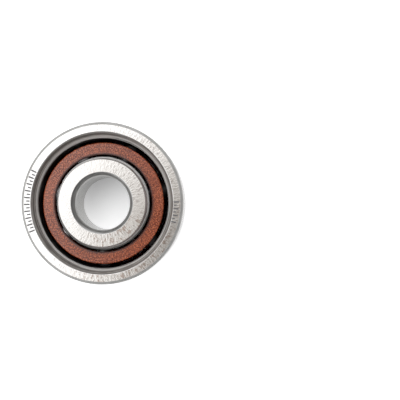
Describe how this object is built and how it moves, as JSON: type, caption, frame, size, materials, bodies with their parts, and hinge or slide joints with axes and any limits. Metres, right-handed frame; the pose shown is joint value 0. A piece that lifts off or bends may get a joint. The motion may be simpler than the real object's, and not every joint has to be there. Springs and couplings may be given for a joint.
{
  "type": "angular contact ball bearing",
  "caption": "Open single-row angular contact ball bearing with turned steel rings, a one-piece textile laminate cage and steel balls rolling in offset grooves.",
  "frame": {"origin": "on the bearing's axis, at the back face, the one on the tall shoulder side of the outer ring", "axes": "+Z along the bearing's axis, from the back face to the open front face where the outer ring is relieved; +X to the right when looking down on the front face with +Y up"},
  "size_m": [0.03, 0.03, 0.009],
  "materials": {
    "ring_steel": "ground and polished bearing steel, bright faces with fine concentric marks, thin oil film",
    "ball_steel": "lapped and polished bearing steel balls",
    "cage_laminate": "machined cotton-cloth phenolic laminate, reddish brown, fine woven speckle"
  },
  "bodies": {
    "outer_ring_body": {"outer_ring": "ring_steel"},
    "inner_ring_body": {"inner_ring": "ring_steel"},
    "cage_body": {"cage": "cage_laminate"},
    "ball_1_body": {"ball_1": "ball_steel"},
    "ball_2_body": {"ball_2": "ball_steel"},
    "ball_3_body": {"ball_3": "ball_steel"},
    "ball_4_body": {"ball_4": "ball_steel"},
    "ball_5_body": {"ball_5": "ball_steel"},
    "ball_6_body": {"ball_6": "ball_steel"},
    "ball_7_body": {"ball_7": "ball_steel"}
  },
  "joints": [
    {"name": "inner_ring_spin", "type": "hinge", "parent": "outer_ring_body", "child": "inner_ring_body", "pos_m": [0, 0, 0.0045], "axis": [0, 0, 1], "continuous": true},
    {"name": "cage_spin", "type": "hinge", "parent": "outer_ring_body", "child": "cage_body", "pos_m": [0, 0, 0.0045], "axis": [0, 0, 1], "continuous": true},
    {"name": "ball_1_spin", "type": "hinge", "parent": "cage_body", "child": "ball_1_body", "pos_m": [0.0096, 0.00222, 0.0045], "axis": [0.2522, 0.0582, 0.9659], "continuous": true},
    {"name": "ball_2_spin", "type": "hinge", "parent": "cage_body", "child": "ball_2_body", "pos_m": [0.00425, 0.00889, 0.0045], "axis": [0.1117, 0.2335, 0.9659], "continuous": true},
    {"name": "ball_3_spin", "type": "hinge", "parent": "cage_body", "child": "ball_3_body", "pos_m": [-0.0043, 0.00886, 0.0045], "axis": [-0.1129, 0.2329, 0.9659], "continuous": true},
    {"name": "ball_4_spin", "type": "hinge", "parent": "cage_body", "child": "ball_4_body", "pos_m": [-0.00961, 0.00217, 0.0045], "axis": [-0.2525, 0.057, 0.9659], "continuous": true},
    {"name": "ball_5_spin", "type": "hinge", "parent": "cage_body", "child": "ball_5_body", "pos_m": [-0.00769, -0.00616, 0.0045], "axis": [-0.2019, -0.1619, 0.9659], "continuous": true},
    {"name": "ball_6_spin", "type": "hinge", "parent": "cage_body", "child": "ball_6_body", "pos_m": [0.00002, -0.00985, 0.0045], "axis": [0.0006, -0.2588, 0.9659], "continuous": true},
    {"name": "ball_7_spin", "type": "hinge", "parent": "cage_body", "child": "ball_7_body", "pos_m": [0.00772, -0.00612, 0.0045], "axis": [0.2028, -0.1609, 0.9659], "continuous": true}
  ],
  "couplings": [
    {"joint": "cage_spin", "follows": "inner_ring_spin", "ratio": 0.38324},
    {"joint": "ball_1_spin", "follows": "inner_ring_spin", "ratio": -1.9555},
    {"joint": "ball_2_spin", "follows": "inner_ring_spin", "ratio": -1.9555},
    {"joint": "ball_3_spin", "follows": "inner_ring_spin", "ratio": -1.9555},
    {"joint": "ball_4_spin", "follows": "inner_ring_spin", "ratio": -1.9555},
    {"joint": "ball_5_spin", "follows": "inner_ring_spin", "ratio": -1.9555},
    {"joint": "ball_6_spin", "follows": "inner_ring_spin", "ratio": -1.9555},
    {"joint": "ball_7_spin", "follows": "inner_ring_spin", "ratio": -1.9555}
  ]
}
